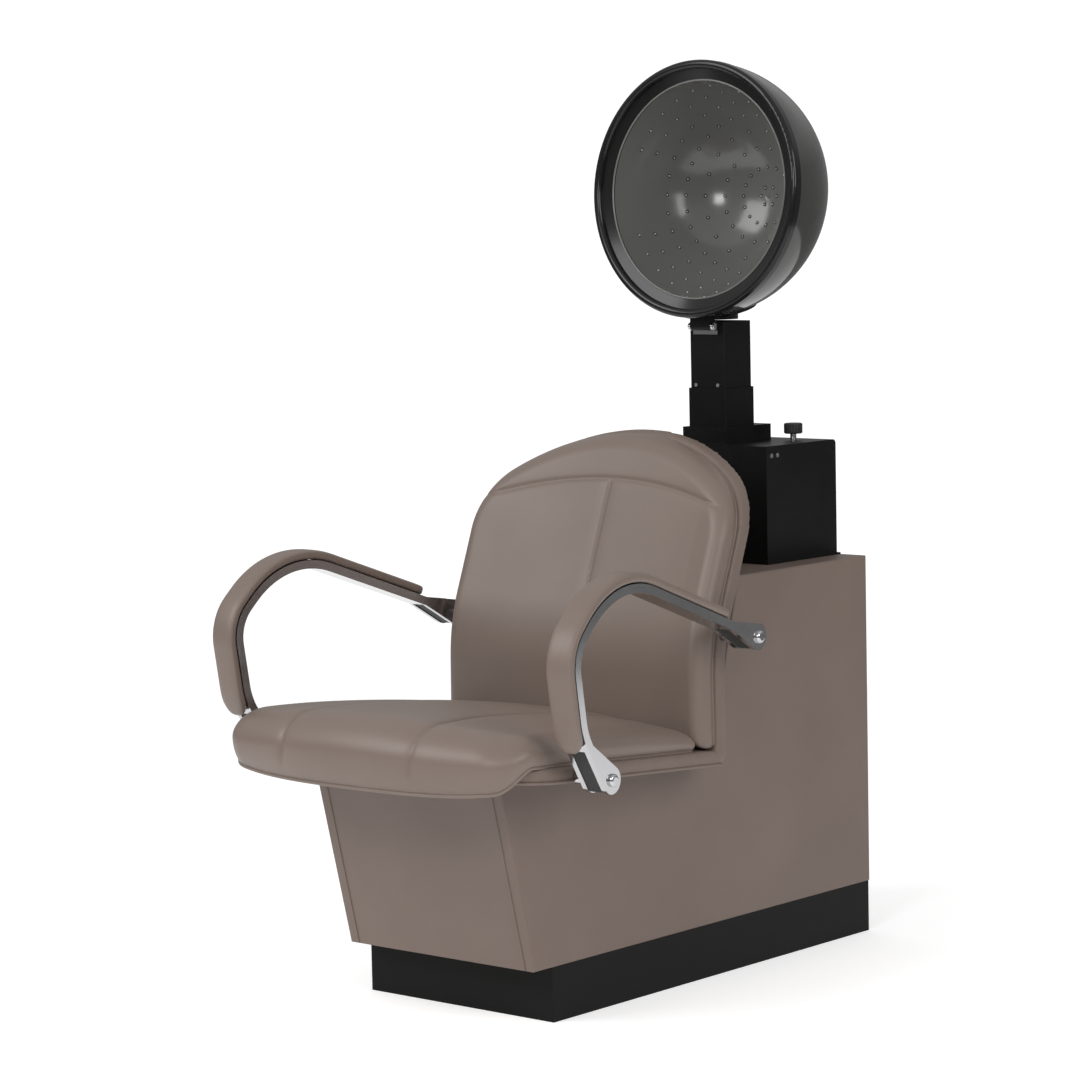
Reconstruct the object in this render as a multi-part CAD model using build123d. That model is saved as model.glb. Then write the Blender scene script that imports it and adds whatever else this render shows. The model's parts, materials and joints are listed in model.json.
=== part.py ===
from build123d import *
import math
import os

# Salon dryer chair with a telescoping, tilting hood. Millimetres, +Z up, the sitter faces -Y.
# The origin is on the floor, at the centre of the plinth's footprint.

# ---------------------------------------------------------------- base cabinet
board = 18.0                # thickness of the cabinet boards
plinth_depth = 788.0
plinth_height = 82.0
plinth_inset = 2.0          # how far the plinth stands in from the cabinet's sides and rear
brace_width = 60.0
base_width = 368.0
base_front_foot_y = -436.0  # front edge of the cabinet at its foot
base_front_lean = 13.7      # degrees that the front panel leans out
tower_height = 612.0        # top of the tower, behind the back
tower_front_foot_y = -20.0
tower_front_top_y = 60.0
panel_edge_radius = 3.0

# ---------------------------------------------------------------- chair
seat_rear_z = 338.0         # underside of the shell at its rear, on the centre line
seat_pitch = 4.6            # degrees that the seat rises towards the front
deck_gap = 8.0              # riser between the cabinet's pitched top and the shell
back_width = 516.0
flare = 4.0                 # degrees that the seat's sides and the arms open towards the front
shell_thick = 25.0
shell_front_y = -600.0
shell_front_bow = 47.0
shell_corner_radius = 70.0
back_foot_y = -42.0         # rear face of the back at its foot, on the centre line
back_wrap = 29.0            # how far the sides of the back come forward
back_bend_z = 515.0         # the back is upright up to here, and leans above it
back_lean = 21.0            # degrees
back_bend_radius = 220.0
back_top_z = 831.0
back_arch_radius = 390.0
back_shoulder_radius = 110.0
heel_radius = 22.0
heel_share = 0.9            # most of the shell's thickness that the heel may round off
soft_gap = 0.3              # clearance round the upholstery
cushion_inset = 3.0
seat_cushion_rear = 46.0    # heights of the seat cushion over the shell
seat_cushion_crown = 63.0
seat_cushion_front = 40.0
seat_crown_y = -390.0
seat_nose = 40.0            # how far the cushion's nose stands out past the shell
seat_nose_drop = 46.0       # how far the nose hangs below the shell's top face
back_cushion_thick = 42.0
cushion_spacing = 6.0       # between the seat cushion and the back cushion
riser_length = 280.0
riser_width = 300.0
seat_bolt_inset = 40.0
seat_bolt_d = 8.0
seat_bolt_head_d = 18.0
seat_bolt_head = 5.0
seat_bolt_grip = 12.0       # how deep the seat bolts go into the shell
back_trim_margin = 20.0     # the back is swept this much wider than it is cut
nose_tuck = 10.0            # how far the nose's lower end stands ahead of the shell

# ---------------------------------------------------------------- arms
arm_stand = 42.0            # from the back's edge to the arm's centre plane, at the rear bolt
arm_width = 40.0
arm_thick = 13.0
arm_front = (-450.0, 380.0)     # front bolt, along the arm's own plane and up
arm_knee = (-510.0, 440.0)
arm_brow = (-530.0, 568.0)
arm_crown = (-426.0, 667.0)
arm_rear = (-71.0, 540.0)       # rear bolt
arm_radii = [98.0, 65.0, 150.0]
arm_boss_d = 40.0
arm_flare = 70.0            # length over which the band widens into a boss
cheek_thick = 8.0           # bright plates either side of the dark filler
filler_inset = 1.5
arm_bolt_d = 8.0
arm_bolt_head_d = 19.0
arm_bolt_head = 6.0
arm_bolt_round = 4.2
arm_bolt_grip = 24.0        # length of bolt in the shell's edge
bolt_clearance = 0.2
insert_d = 12.0
spacer_d = 20.0
pad_width = 44.0
pad_thick = 15.0
pad_margin = 74.0           # along the arm, from each bolt to the end of its pad

# ---------------------------------------------------------------- dryer box
sheet = 2.0
box_width = 268.0
box_height = 184.0
box_front_y = 200.0
box_rear_y = 385.0
box_bend_radius = 7.0
box_flange = 10.0           # base plate that shows behind the box
box_flange_thick = 3.0
box_screw_d = 7.0
box_screw_drop = 15.0
box_screw_head = 2.0
box_screw_depths = (10.0, 25.0)     # behind the front panel
anchor_d = 8.0
anchor_head_d = 14.0
anchor_head = 4.0
anchor_side_inset = 18.0    # from the box's sides, and from its front and rear
anchor_end_inset = 24.0
collar_side = 6.0           # wider than the sleeve on each side
collar_depth = 117.0
collar_height = 26.0
collar_wall = 4.0
collar_setback = 15.0       # behind the front of the box
mast_y = 260.0              # centre of the square mast
sleeve_room = 1.0           # between the sleeve's bore and the tube, on each side
sleeve_wall = 2.0
sleeve_corner = 4.0
guide_corner = 2.0
sleeve_top_z = 887.0
tube_size = 70.0
tube_wall = 2.0
tube_corner = 3.0
shoe_corner = 3.5
least_corner = 0.3          # of a tube's bore
tube_foot_z = 690.0
tube_top_z = 993.0
slide_gap = 0.1             # between the guides and the sliding tube
guide_height = 30.0
stop_screw_d = 6.0
stop_screw_head = 2.5
stop_screw_spacing = 44.0
stop_screw_lift = 2.0       # above the sleeve's top, at rest

# ---------------------------------------------------------------- lock knob
knob_x = 80.0
knob_y = 344.0
knob_d = 30.0
knob_height = 17.0
knob_ribs = 20
knob_rib_d = 2.6
knob_round = 2.5
knob_crown = 4.0            # plastic over the end of the stud
stud_d = 10.0
stud_flange_d = 20.0
stud_flange_thick = 3.0
stud_show = 10.0            # metal neck between the box and the knob
stud_gap = 0.05

# ---------------------------------------------------------------- air supply in the box
blower_z = 700.0
blower_width = 72.0
blower_gap = 1.0            # between the housing and the sleeve
scroll_d = 150.0
scroll_wall = 2.5
inlet_d = 80.0
wheel_d = 112.0
wheel_blades = 24
blade_thick = 1.2
blade_depth = 12.0
wheel_hub_d = 20.0
wheel_hub_length = 16.0
wheel_disc = 2.0
wheel_end_gap = 3.0         # to the motor and to the housing
motor_d = 46.0
motor_length = 16.0
motor_shaft_d = 8.0
motor_shaft_length = 26.0
shaft_clearance = 1.0
shaft_gap = 0.05
outlet_height = 40.0
outlet_depth = 52.0
outlet_floor_z = 640.0
heater_size = 66.0
heater_foot_z = 622.0
heater_height = 62.0
heater_sheet = 1.5
heater_end = 6.0            # uncut at each end of the sheets
coil_d = 40.0
coil_wire = 1.6
coil_turns = 7
coil_end = 10.0             # from each end of the sheets to the coil
coil_groove = 2.0           # room on either side of the coil
terminal_size = (60.0, 30.0, 22.0)
terminal_side_inset = 10.0
terminal_rear_inset = 36.0
terminal_count = 4
terminal_well_d = 8.0
terminal_well = 4.0
gland_z = 170.0
gland_d = 22.0
gland_bore = 8.4
gland_neck_d = 16.0
gland_stand = 12.0

# ---------------------------------------------------------------- hood
hood_tilt = 4.0             # degrees above level that the opening faces at rest
rim_y = 198.0
dome_rise = 9.0             # gap from the mast's top to the dome, below the opening's centre
rim_d = 408.0
rim_width = 14.0
rim_front = 7.0             # rim ahead of the opening's plane
rim_back = 9.0
rim_round = 6.5
rim_overhang = 2.0          # rim's outer radius less the dome's
dome_offset = 17.0          # the dome's centre behind the opening's plane
dome_wall = 3.0
throat_d = 58.0
throat_wall = 3.0
throat_gap = 3.0            # between the mast's top and the throat
flange_d = 118.0
flange_thick = 3.5
ledge_front = 3.0           # outer edge of the ledge behind the opening's plane
ledge_drop = 6.0            # how far the ledge slopes in
ledge_wall = 2.5
mouth_radius = 172.0
bowl_radius = 172.5
bowl_wall = 2.5
hole_d = 6.0
ring_step = 10.6            # degrees between rings of holes
ring_first = 5.2
ring_counts = [6, 16, 18, 18, 30, 30, 30, 30]
side_gap_rings = 2          # the outer rings leave out their holes at both sides
side_gap_angle = 18.0
hinge_stand = 11.0          # the hinge pin ahead of the mast's front face
hinge_drop = 7.0            # and below the mast's top
hinge_d = 6.0
hinge_gap = 0.05
hinge_barrel_d = 13.0
hinge_barrel_width = 40.0
ear_thick = 4.0
ear_gap = 0.5
ear_height = 26.0
saddle_width = 60.0
saddle_reach = 14.0
saddle_height = 40.0
web_height = 24.0
pin_head_d = 10.0
pin_head = 2.0

# ---------------------------------------------------------------- worked out from the sizes above
half_base = base_width / 2
half_plinth = half_base - plinth_inset
plinth_rear_y = plinth_depth / 2
base_rear_y = plinth_rear_y + plinth_inset
front_slope = math.tan(math.radians(base_front_lean))
seat_slope = math.tan(math.radians(seat_pitch))
flare_slope = math.tan(math.radians(flare))
half_back = back_width / 2
arm_rear_x = half_back + arm_stand
wrap_radius = (half_back ** 2 + back_wrap ** 2) / (2 * back_wrap)
riser_centre_y = (shell_front_y + back_foot_y) / 2
box_foot_z = tower_height + box_flange_thick
box_top_z = box_foot_z + box_height
half_box = box_width / 2
blower_y = (box_front_y + box_rear_y) / 2
sleeve_bore = tube_size + 2 * sleeve_room
sleeve_size = sleeve_bore + 2 * sleeve_wall
collar_width = sleeve_size + 2 * collar_side
dome_radius = rim_d / 2 - rim_overhang
rim_z = tube_top_z + dome_radius + dome_rise
guide_wall = (sleeve_bore - tube_size) / 2 - slide_gap
tube_front_y = mast_y - tube_size / 2
hinge_y = tube_front_y - hinge_stand
hinge_z = tube_top_z - hinge_drop


def wrap_drop(half):
    """How far the wrapped rear face comes forward at a distance from the centre line."""
    return wrap_radius - math.sqrt(wrap_radius ** 2 - half ** 2)


def shell_under_z(y):
    """Height of the shell's pitched underside."""
    return seat_rear_z + (back_foot_y - y) * seat_slope


def shell_top_z(y):
    return shell_under_z(y) + shell_thick / math.cos(math.radians(seat_pitch))


def deck_z(y):
    """Height of the cabinet's pitched top, under the seat."""
    return shell_under_z(y) - deck_gap


def block(x_from, x_to, y_from, y_to, z_from, z_to):
    middle = Pos((x_from + x_to) / 2, (y_from + y_to) / 2, (z_from + z_to) / 2)
    return middle * Box(x_to - x_from, y_to - y_from, z_to - z_from)


def side_slab(outline, x_from, x_to):
    """A slab whose side view is the outline, given as (y, z) points."""
    face = make_face(Plane.YZ * Polyline(*outline, close=True))
    return Pos(x_from, 0, 0) * extrude(face, x_to - x_from, dir=(1, 0, 0))


def square_tube(size, wall, z_from, z_to, corner):
    """Upright square tube round the mast's axis."""
    outer = extrude(RectangleRounded(size, size, corner), z_to - z_from)
    bore_size = size - 2 * wall
    inner_corner = max(corner - wall, least_corner)
    inner = extrude(RectangleRounded(bore_size, bore_size, inner_corner), z_to - z_from)
    return Pos(0, mast_y, z_from) * (outer - inner)


def save(name, *pieces):
    shape = pieces[0] if len(pieces) == 1 else Compound(children=[p for p in pieces])
    export_step(shape, f"parts/{name}.step")


# ================================================================ base cabinet
def make_plinth():
    front_y = -plinth_rear_y
    save("plinth_front", block(-half_plinth, half_plinth, front_y, front_y + board, 0, plinth_height))
    inner_rear_y = plinth_rear_y - board
    save("plinth_rear", block(-half_plinth, half_plinth, inner_rear_y, plinth_rear_y, 0, plinth_height))
    for name, side in (("plinth_left", 1), ("plinth_right", -1)):
        low, high = sorted((side * half_plinth, side * (half_plinth - board)))
        save(name, block(low, high, front_y + board, plinth_rear_y - board, 0, plinth_height))
    inner = half_plinth - board
    save("plinth_brace", block(-inner, inner, -brace_width / 2, brace_width / 2, 0, plinth_height))


def front_top():
    """Where the leaning front meets the pitched top."""
    lift = deck_z(base_front_foot_y) - plinth_height
    rise = lift / (1 - front_slope * seat_slope)
    return base_front_foot_y - rise * front_slope, plinth_height + rise


def make_side_panels():
    front_y, front_z = front_top()
    outline = [
        (base_front_foot_y, plinth_height),
        (base_rear_y, plinth_height),
        (base_rear_y, tower_height),
        (tower_front_top_y, tower_height),
        (tower_front_foot_y, deck_z(tower_front_foot_y)),
        (front_y, front_z),
    ]
    panel = side_slab(outline, half_base - board, half_base)
    panel = fillet(panel.faces().sort_by(Axis.X)[-1].edges(), panel_edge_radius)
    save("side_panel_left", panel)
    save("side_panel_right", mirror(panel, Plane.YZ))


def sloped_board(foot, top, z_from, z_to):
    """A board between the side panels whose front face runs from foot to top."""
    outline = [(foot, z_from), (foot + board, z_from), (top + board, z_to), (top, z_to)]
    return side_slab(outline, -half_base + board, half_base - board)


def make_panels():
    inner = half_base - board
    floor_top = plinth_height + board
    front_y, front_z = front_top()
    front = sloped_board(base_front_foot_y, front_y, plinth_height, front_z)
    save("front_panel", front)

    rear = block(-inner, inner, base_rear_y - board, base_rear_y, plinth_height, tower_height)
    gland_hole = Pos(0, base_rear_y - board / 2, gland_z) * Rot(90, 0, 0) * Cylinder(
        gland_neck_d / 2 + bolt_clearance, board)
    save("rear_panel", rear - gland_hole)

    floor = block(-inner, inner, base_front_foot_y + board, base_rear_y - board, plinth_height, floor_top)
    save("floor_board", floor)

    tower_foot_z = deck_z(tower_front_foot_y)
    save("tower_front", sloped_board(tower_front_foot_y, tower_front_top_y, tower_foot_z, tower_height))
    cap = block(-inner, inner, tower_front_top_y + board, base_rear_y - board,
                tower_height - board, tower_height)
    for x, y in anchor_places():
        cap -= Pos(x, y, tower_height - board / 2) * Cylinder(anchor_d / 2 + bolt_clearance, board)
    save("tower_cap", cap)

    rear_y = tower_front_foot_y + board
    front_edge_y = front_y + board / 2
    outline = [(front_edge_y, deck_z(front_edge_y) - board), (front_edge_y, deck_z(front_edge_y)),
               (rear_y, deck_z(rear_y)), (rear_y, deck_z(rear_y) - board)]
    deck = side_slab(outline, -inner, inner) - front
    for x, y in seat_bolt_places():
        deck -= seat_place(x, y) * Cylinder(seat_bolt_d / 2 + bolt_clearance, 3 * board)
    save("seat_deck", deck)


def make_gland():
    """Cable gland through the rear panel: nut outside, neck through the board."""
    axis = Pos(0, base_rear_y, gland_z) * Rot(90, 0, 0)
    head = axis * Pos(0, 0, -gland_stand / 2) * Cylinder(gland_d / 2, gland_stand)
    neck = axis * Pos(0, 0, board / 2) * Cylinder(gland_neck_d / 2, board)
    bore = axis * Cylinder(gland_bore / 2, 2 * (board + gland_stand))
    save("cable_gland", head + neck - bore)


# ================================================================ chair
def seat_bolt_places():
    x = riser_width / 2 - seat_bolt_inset
    y = riser_length / 2 - seat_bolt_inset
    return [(sx * x, riser_centre_y + sy * y) for sx in (-1, 1) for sy in (-1, 1)]


def seat_place(x, y):
    """Square to the pitched top of the cabinet."""
    return Pos(x, y, deck_z(y)) * Rot(-seat_pitch, 0, 0)


def half_seat(y):
    """Half the seat's width, which opens towards the front."""
    return half_back + max(0.0, arm_rear[0] - y) * flare_slope


def seat_plan(inset, front_y, rear_y):
    """Plan of the seat: bowed front, flared sides, rounded corners, rear wrapped like the back."""
    side_front = front_y + shell_front_bow
    wide, narrow = half_seat(side_front) - inset, half_back - inset
    rear_side = rear_y - wrap_drop(narrow)
    front = ThreePointArc((-wide, side_front), (0, front_y), (wide, side_front))
    rear = ThreePointArc((narrow, rear_side), (0, rear_y), (-narrow, rear_side))
    face = make_face([front, Line(front @ 1, rear @ 0), rear, Line(rear @ 1, front @ 0)])
    return fillet(face.vertices().sort_by(Axis.Y)[:2], shell_corner_radius)


def back_path():
    """Side view of the back's rear face on the centre line: upright, then leaning."""
    foot_z = seat_rear_z - shell_thick
    rise = back_top_z + 4 * shell_thick - back_bend_z
    top_y = back_foot_y + rise * math.tan(math.radians(back_lean))
    points = [(0, back_foot_y, foot_z), (0, back_foot_y, back_bend_z), (0, top_y, back_bend_z + rise)]
    return FilletPolyline(*points, radius=back_bend_radius)


def wrapped_band(near, far, half):
    """Band swept up the back, between two distances in front of its rear face."""
    path = back_path()
    drop = wrap_drop(half)
    rear = ThreePointArc((-half, -drop - near), (0, -near), (half, -drop - near))
    front = ThreePointArc((half, -drop - far), (0, -far), (-half, -drop - far))
    section = make_face([rear, Line(rear @ 1, front @ 0), front, Line(front @ 1, rear @ 0)])
    start = Plane(origin=path @ 0, x_dir=(1, 0, 0), z_dir=path % 0)
    return sweep(start * section, path=path)


def back_outline(inset, foot_z):
    """Front view of the back, as a block to intersect with: straight sides and an arched top."""
    half = half_back - inset
    arch_radius = back_arch_radius - inset
    side_z = back_top_z - inset - arch_radius + math.sqrt(arch_radius ** 2 - half ** 2)
    arch = ThreePointArc((-half, side_z), (0, back_top_z - inset), (half, side_z))
    foot = Polyline((half, side_z), (half, foot_z), (-half, foot_z), (-half, side_z))
    face = make_face([arch, foot])
    shoulders = [v for v in face.vertices() if abs(v.Y - side_z) < 1]
    face = fillet(shoulders, back_shoulder_radius)
    return extrude(Plane.XZ * face, back_width, both=True)


def make_shell():
    front_y, rear_y = shell_front_y - 1, back_foot_y + 1
    band = side_slab(
        [(front_y, shell_under_z(front_y)), (rear_y, shell_under_z(rear_y)),
         (rear_y, shell_top_z(rear_y)), (front_y, shell_top_z(front_y))], -2 * half_back, 2 * half_back)
    prism = extrude(seat_plan(0, shell_front_y, back_foot_y), back_top_z)
    beyond = 4 * back_wrap
    above = side_slab(
        [(-beyond * 2, shell_under_z(-beyond * 2)), (beyond, shell_under_z(beyond)),
         (beyond, back_top_z), (-beyond * 2, back_top_z)], -2 * half_back, 2 * half_back)
    back = wrapped_band(0, shell_thick, half_back + back_trim_margin) & above
    back = back & back_outline(0, seat_rear_z - shell_thick)
    shell = (prism & band) + back
    heel = shell.edges().group_by(Axis.Z)[0].sort_by(Axis.Y)[-1]
    shell = fillet(heel, min(heel_radius, heel_share * shell_thick))
    for x, y in seat_bolt_places():
        depth = deck_gap + seat_bolt_grip
        shell -= seat_place(x, y) * Pos(0, 0, depth / 2) * Cylinder(seat_bolt_d / 2 + bolt_clearance, depth)
    for side in (-1, 1):
        for bolt in (arm_front, arm_rear):
            start = arm_bolt_start()
            hole = bolt_axis(side, bolt) * Pos(0, 0, start + arm_bolt_grip)
            shell -= hole * Cylinder(insert_d / 2, 2 * arm_bolt_grip)
    save("chair_shell", shell)


def make_riser_and_seat_bolts():
    half_x, half_y = riser_width / 2, riser_length / 2
    front_y, rear_y = riser_centre_y - half_y, riser_centre_y + half_y
    riser = side_slab(
        [(front_y, deck_z(front_y)), (rear_y, deck_z(rear_y)),
         (rear_y, shell_under_z(rear_y)), (front_y, shell_under_z(front_y))], -half_x, half_x)
    bolts = []
    top = deck_gap + seat_bolt_grip
    for x, y in seat_bolt_places():
        riser -= seat_place(x, y) * Cylinder(seat_bolt_d / 2 + bolt_clearance, 4 * deck_gap)
        shank = Pos(0, 0, (top - board) / 2) * Cylinder(seat_bolt_d / 2, top + board)
        head = Pos(0, 0, -board - seat_bolt_head / 2) * Cylinder(seat_bolt_head_d / 2, seat_bolt_head)
        bolts.append(seat_place(x, y) * (shank + head))
    save("seat_riser", riser)
    save("seat_bolts", *bolts)


def make_seat_cushion():
    """Crowned cushion whose rounded nose hangs over the shell's front edge."""
    rear_y = back_foot_y - shell_thick - back_cushion_thick - cushion_spacing
    lip_y = shell_front_y - soft_gap
    nose_y = shell_front_y - seat_nose
    front_top_z = shell_top_z(lip_y) + seat_cushion_front
    nose_z = shell_top_z(lip_y)
    lip_z = nose_z - seat_nose_drop
    top = ThreePointArc(
        (0, rear_y, shell_top_z(rear_y) + seat_cushion_rear),
        (0, seat_crown_y, shell_top_z(seat_crown_y) + seat_cushion_crown),
        (0, lip_y, front_top_z))
    nose = ThreePointArc((0, lip_y, front_top_z), (0, nose_y, nose_z), (0, lip_y - nose_tuck, lip_z))
    foot = Polyline(
        (0, lip_y - nose_tuck, lip_z), (0, lip_y, lip_z), (0, lip_y, shell_top_z(lip_y) + soft_gap),
        (0, rear_y, shell_top_z(rear_y) + soft_gap), top @ 0)
    profile = Pos(-2 * half_back, 0, 0) * extrude(make_face([top, nose, foot]), 4 * half_back, dir=(1, 0, 0))
    plan = extrude(seat_plan(cushion_inset, nose_y, rear_y), 2 * front_top_z)
    save("seat_cushion", profile & plan)


def make_back_cushion():
    near = shell_thick + soft_gap
    far = near + back_cushion_thick
    deepest_y = back_foot_y - far - back_wrap
    foot_z = shell_top_z(deepest_y) + soft_gap
    cushion = wrapped_band(near, far, half_back + back_trim_margin) & back_outline(cushion_inset, foot_z)
    save("back_cushion", cushion)


# ================================================================ arms
def shifted(points, distance):
    """Open outline moved sideways, to the left of its direction of travel."""
    lines = []
    for (y1, z1), (y2, z2) in zip(points, points[1:]):
        length = math.hypot(y2 - y1, z2 - z1)
        dy, dz = (y2 - y1) / length, (z2 - z1) / length
        lines.append((y1 - dz * distance, z1 + dy * distance, dy, dz))
    moved = [(lines[0][0], lines[0][1])]
    for (ya, za, dya, dza), (yb, zb, dyb, dzb) in zip(lines, lines[1:]):
        cross = dya * dzb - dza * dyb
        along = ((yb - ya) * dzb - (zb - za) * dyb) / cross
        moved.append((ya + along * dya, za + along * dza))
    y_end, z_end = points[-1]
    dy, dz = lines[-1][2], lines[-1][3]
    moved.append((y_end - dz * distance, z_end + dy * distance))
    return moved


def arm_line(distance):
    """The arm's centre line in side view, moved outwards by a distance."""
    points = shifted([arm_front, arm_knee, arm_brow, arm_crown, arm_rear], distance)
    radii = [r + distance for r in arm_radii]
    return FilletPolyline(*[(0, y, z) for y, z in points], radius=radii)


def swept_bar(path, width, height):
    start = Plane(origin=path @ 0, x_dir=(1, 0, 0), z_dir=path % 0)
    return sweep(start * Rectangle(width, height), path=path)


def boss(path, at_start, inset, x_from, x_to):
    """Flat eye round a bolt that narrows into the band, between two planes across the arm."""
    here = path @ 0 if at_start else path @ 1
    share = arm_flare / path.length
    there = path @ share if at_start else path @ (1 - share)
    eye = Pos(here.Y, here.Z) * Circle(arm_boss_d / 2 - inset)
    neck = Pos(there.Y, there.Z) * Circle(arm_thick / 2 - inset)
    hull = make_hull(eye.edges() + neck.edges())
    return Pos(x_from, 0, 0) * extrude(Plane.YZ * hull, x_to - x_from)


def bolt_holes():
    holes = []
    for y, z in (arm_front, arm_rear):
        holes.append(Pos(0, y, z) * Rot(0, 90, 0) * Cylinder(arm_bolt_d / 2 + bolt_clearance, 2 * arm_width))
    return holes


def make_arm_frame():
    """Band with a pair of bright cheeks at each end."""
    path = arm_line(0)
    half = arm_width / 2
    frame = swept_bar(part_of(path, arm_boss_d / 2, arm_boss_d / 2), arm_width, arm_thick)
    frame -= make_arm_filler(0)
    for at_start in (True, False):
        frame += boss(path, at_start, 0, half - cheek_thick, half)
        frame += boss(path, at_start, 0, -half, -half + cheek_thick)
    for hole in bolt_holes():
        frame -= hole
    return frame


def make_arm_filler(inset):
    """Dark blocks between the cheeks."""
    path = arm_line(0)
    reach = arm_width / 2 - cheek_thick
    return boss(path, True, inset, -reach, reach) + boss(path, False, inset, -reach, reach)


def part_of(path, start, end):
    return path.trim(start / path.length, 1 - end / path.length)


def make_arm_pad():
    path = arm_line(arm_thick / 2 + soft_gap + pad_thick / 2)
    return swept_bar(part_of(path, pad_margin, pad_margin), pad_width, pad_thick)


def arm_place(side):
    """The arm's own plane, turned out about the upright line through its rear bolt."""
    return Pos(side * arm_rear_x, arm_rear[0], 0) * Rot(0, 0, side * flare) * Pos(0, -arm_rear[0], 0)


def bolt_axis(side, bolt):
    """Frame at a bolt: its z points out of the chair, with 0 on the arm's centre plane."""
    return arm_place(side) * Pos(0, bolt[0], bolt[1]) * Rot(0, 90 * side, 0)


def arm_bolt_start():
    """Inner end of an arm bolt, from the arm's centre plane."""
    return (half_back - arm_rear_x) * math.cos(math.radians(flare)) - arm_bolt_grip


def make_arms():
    frame, pad = make_arm_frame(), make_arm_pad()
    filler = make_arm_filler(filler_inset)
    for hole in bolt_holes():
        filler -= hole
    for name, side in (("left", 1), ("right", -1)):
        save(f"arm_frame_{name}", arm_place(side) * frame)
        save(f"arm_pad_{name}", arm_place(side) * pad)
        save(f"arm_filler_{name}", arm_place(side) * filler)


def make_arm_fasteners():
    bolts, inserts, spacers = [], [], []
    outer = arm_width / 2
    within_back = block(-half_back, half_back, -back_top_z, back_top_z, 0, back_top_z)
    for side in (-1, 1):
        start = arm_bolt_start()
        edge = start + arm_bolt_grip
        for bolt in (arm_front, arm_rear):
            axis = bolt_axis(side, bolt)
            shank = Pos(0, 0, (start + outer) / 2) * Cylinder(arm_bolt_d / 2, outer - start)
            head = Pos(0, 0, outer + arm_bolt_head / 2) * Cylinder(arm_bolt_head_d / 2, arm_bolt_head)
            head = fillet(head.edges().sort_by(Axis.Z)[-1], arm_bolt_round)
            bolts.append(axis * (shank + head))
            length = arm_bolt_grip - 1
            sleeve = Cylinder(insert_d / 2, length) - Cylinder(arm_bolt_d / 2, length)
            inserts.append(axis * Pos(0, 0, start + length / 2) * sleeve)
            gap = -outer - edge
            tube = Cylinder(spacer_d / 2, gap) - Cylinder(arm_bolt_d / 2 + bolt_clearance, gap)
            spacers.append(axis * Pos(0, 0, edge + gap / 2) * tube - within_back)
    save("arm_bolts", *bolts)
    save("arm_inserts", *inserts)
    save("arm_spacers", *spacers)


# ================================================================ dryer box and mast
def anchor_places():
    x = half_box - anchor_side_inset
    ends = (box_front_y + anchor_end_inset, box_rear_y - anchor_end_inset)
    return [(sx * x, y) for sx in (-1, 1) for y in ends]


def sleeve_outer_block(z_from, z_to, gap=0.0):
    half = sleeve_size / 2 + gap
    return block(-half, half, mast_y - half, mast_y + half, z_from, z_to)


def make_box():
    plate_rear = box_rear_y + box_flange
    plate = block(-half_box, half_box, box_front_y, plate_rear, tower_height, box_foot_z)
    for x, y in anchor_places():
        plate -= Pos(x, y, tower_height + box_flange_thick / 2) * Cylinder(
            anchor_d / 2 + bolt_clearance, box_flange_thick)
    save("box_base_plate", plate)

    outer = block(-half_box, half_box, box_front_y + sheet, box_rear_y, box_foot_z, box_top_z)
    bends = outer.edges().filter_by(Axis.X).group_by(Axis.Z)[-1].sort_by(Axis.Y)[-1:]
    outer = fillet(bends, box_bend_radius)
    inner = block(-half_box + sheet, half_box - sheet, box_front_y + sheet, box_rear_y - sheet,
                  box_foot_z, box_top_z - sheet)
    cover = outer - inner - sleeve_outer_block(box_top_z - sheet, box_top_z)
    cover -= Pos(knob_x, knob_y, box_top_z - sheet / 2) * Cylinder(stud_d / 2 + bolt_clearance, sheet)
    save("box_cover", cover)

    front = block(-half_box, half_box, box_front_y, box_front_y + sheet, box_foot_z, box_top_z)
    save("box_front", front)

    screws = []
    for side in (-1, 1):
        for depth in box_screw_depths:
            place = Pos(side * half_box, box_front_y + sheet + depth, box_top_z - box_screw_drop)
            outwards = Rot(0, 90 * side, 0) * Pos(0, 0, box_screw_head / 2)
            screws.append(place * outwards * Cylinder(box_screw_d / 2, box_screw_head))
    save("box_screws", *screws)

    anchors = []
    for x, y in anchor_places():
        shank_length = board + box_flange_thick
        shank = Pos(x, y, box_foot_z - shank_length / 2) * Cylinder(anchor_d / 2, shank_length)
        head = Pos(x, y, box_foot_z + anchor_head / 2) * Cylinder(anchor_head_d / 2, anchor_head)
        anchors.append(shank + head)
    save("box_anchors", *anchors)


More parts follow.
